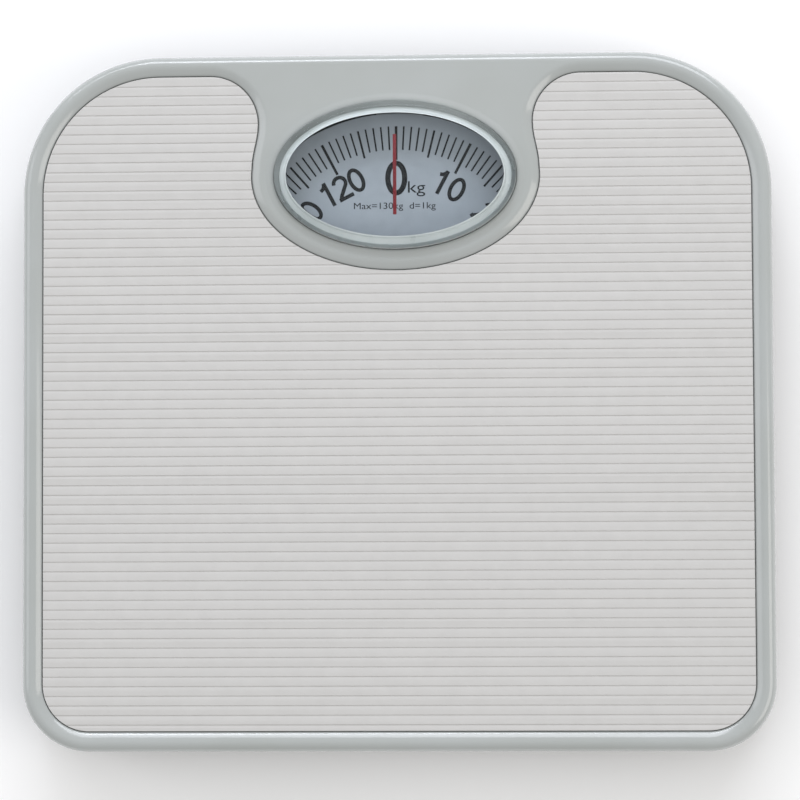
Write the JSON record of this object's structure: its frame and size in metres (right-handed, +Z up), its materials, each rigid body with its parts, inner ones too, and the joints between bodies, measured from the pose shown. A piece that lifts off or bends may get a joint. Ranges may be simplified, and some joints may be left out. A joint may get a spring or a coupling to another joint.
{
  "type": "mechanical dial bathroom scale",
  "caption": "Low mechanical personal scale: enamelled pressed-steel platform with a ribbed mat, oval lens over a turning dial, and a lever, spring, crank, rack and pinion drive inside.",
  "frame": {"origin": "centre of the outline, on the surface that the feet stand on", "axes": "+Z up, +Y towards the rear, where the dial window is, +X to the reader's right"},
  "size_m": [0.28, 0.26, 0.0465],
  "materials": {
    "cover_enamel": "semi-gloss stoved enamel",
    "mat_vinyl": "ribbed matt vinyl",
    "base_enamel": "semi-matt enamel",
    "foot_rubber": "moulded",
    "zinc_steel": "bright zinc plate",
    "lever_steel": "rolled and oiled",
    "hard_steel": "ground",
    "spring_steel": "drawn",
    "brass": "turned",
    "white_acetal": "moulded",
    "wheel_plastic": "moulded",
    "dial_grey": "satin grey lacquer with black print",
    "lens_clear": "clear moulded polystyrene",
    "pointer_red": "moulded"
  },
  "bodies": {
    "base": {"base_pan": "base_enamel", "foot_front_left": "foot_rubber", "foot_front_right": "foot_rubber", "foot_rear_left": "foot_rubber", "foot_rear_right": "foot_rubber", "post_front_left": "zinc_steel", "post_front_right": "zinc_steel", "post_rear_left": "zinc_steel", "post_rear_right": "zinc_steel", "post_rivets": "zinc_steel", "base_spring_hooks": "zinc_steel", "dial_bridge": "zinc_steel", "bridge_screws": "zinc_steel", "dial_bearing": "brass", "rack_guide": "white_acetal", "rack_spring": "spring_steel", "crank_bracket": "zinc_steel", "crank_pin": "hard_steel", "crank_rivets": "zinc_steel", "spring_tower": "zinc_steel", "tower_screws": "zinc_steel"},
    "zero_wheel": {"zero_wheel": "wheel_plastic", "adjusting_screw": "hard_steel", "screw_clip": "spring_steel"},
    "spring_hanger": {"spring_hanger": "brass", "main_spring": "spring_steel"},
    "calibrating_plate": {"calibrating_plate": "zinc_steel"},
    "long_lever": {"long_lever": "lever_steel", "long_fulcrum_pins": "hard_steel", "long_load_pins": "hard_steel", "long_nose_pin": "hard_steel", "link_pin": "hard_steel"},
    "short_lever": {"short_lever": "lever_steel", "short_fulcrum_pins": "hard_steel", "short_load_pins": "hard_steel", "short_nose_pin": "hard_steel"},
    "lever_link": {"lever_link": "zinc_steel"},
    "bell_crank": {"bell_crank": "brass", "crank_drive_pin": "hard_steel"},
    "drive_rack": {"drive_rack": "white_acetal"},
    "dial": {"dial_disc": "dial_grey", "dial_hub": "white_acetal", "dial_pinion": "brass", "dial_shaft": "hard_steel", "dial_cap": "zinc_steel"},
    "platform": {"platform_cover": "cover_enamel", "platform_mat": "mat_vinyl", "lens": "lens_clear", "index_pointer": "pointer_red", "lens_retainer": "zinc_steel", "retainer_rivets": "zinc_steel", "bracket_front_left": "zinc_steel", "bracket_front_right": "zinc_steel", "bracket_rear_left": "zinc_steel", "bracket_rear_right": "zinc_steel", "cover_spring_lugs": "zinc_steel", "cover_spring_left": "spring_steel", "cover_spring_right": "spring_steel"}
  },
  "joints": [
    {"name": "dial_turn", "type": "hinge", "parent": "base", "child": "dial", "pos_m": [0, 0.0434, 0.0315], "axis": [0, 0, 1], "range_deg": [0, 360], "stiffness_Nm_per_rad": 0.032, "springref_deg": -8.59},
    {"name": "platform_drop", "type": "slide", "parent": "base", "child": "platform", "axis": [0, 0, -1], "range_m": [0, 0.00097], "deforming": ["cover_spring_left", "cover_spring_right"]},
    {"name": "long_lever_tilt", "type": "hinge", "parent": "base", "child": "long_lever", "pos_m": [0, -0.103, 0.018], "axis": [-1, 0, 0], "range_deg": [0, 2.23]},
    {"name": "short_lever_tilt", "type": "hinge", "parent": "base", "child": "short_lever", "pos_m": [0, 0.103, 0.018], "axis": [1, 0, 0], "range_deg": [0, 2.23]},
    {"name": "lever_link_drop", "type": "slide", "parent": "base", "child": "lever_link", "axis": [0, 0, -1], "range_m": [0, 0.004]},
    {"name": "zero_wheel_turn", "type": "hinge", "parent": "base", "child": "zero_wheel", "pos_m": [0, 0.119, 0.0053], "axis": [0, 0, 1], "range_deg": [-180, 180]},
    {"name": "hanger_lift", "type": "slide", "parent": "base", "child": "spring_hanger", "axis": [0, 0, 1], "range_m": [-0.00025, 0.00025]},
    {"name": "calibrating_plate_drop", "type": "slide", "parent": "spring_hanger", "child": "calibrating_plate", "axis": [0, 0, -1], "range_m": [0, 0.008], "deforming": ["main_spring"]},
    {"name": "bell_crank_turn", "type": "hinge", "parent": "base", "child": "bell_crank", "pos_m": [0.008, 0.096, 0.011], "axis": [-1, 0, 0], "range_deg": [0, 45]},
    {"name": "rack_slide", "type": "slide", "parent": "base", "child": "drive_rack", "axis": [0, 1, 0], "range_m": [0, 0.01257], "deforming": ["rack_spring"]}
  ],
  "couplings": [
    {"joint": "dial_turn", "follows": "platform_drop", "rad_per_m": 6477.5},
    {"joint": "long_lever_tilt", "follows": "platform_drop", "rad_per_m": 40.036},
    {"joint": "short_lever_tilt", "follows": "platform_drop", "rad_per_m": 40.036},
    {"joint": "lever_link_drop", "follows": "platform_drop", "ratio": 4.1237},
    {"joint": "calibrating_plate_drop", "follows": "platform_drop", "ratio": 8.2474},
    {"joint": "bell_crank_turn", "follows": "platform_drop", "rad_per_m": 809.69},
    {"joint": "rack_slide", "follows": "platform_drop", "ratio": 12.955},
    {"joint": "zero_wheel_turn", "follows": "hanger_lift", "rad_per_m": 12566}
  ]
}
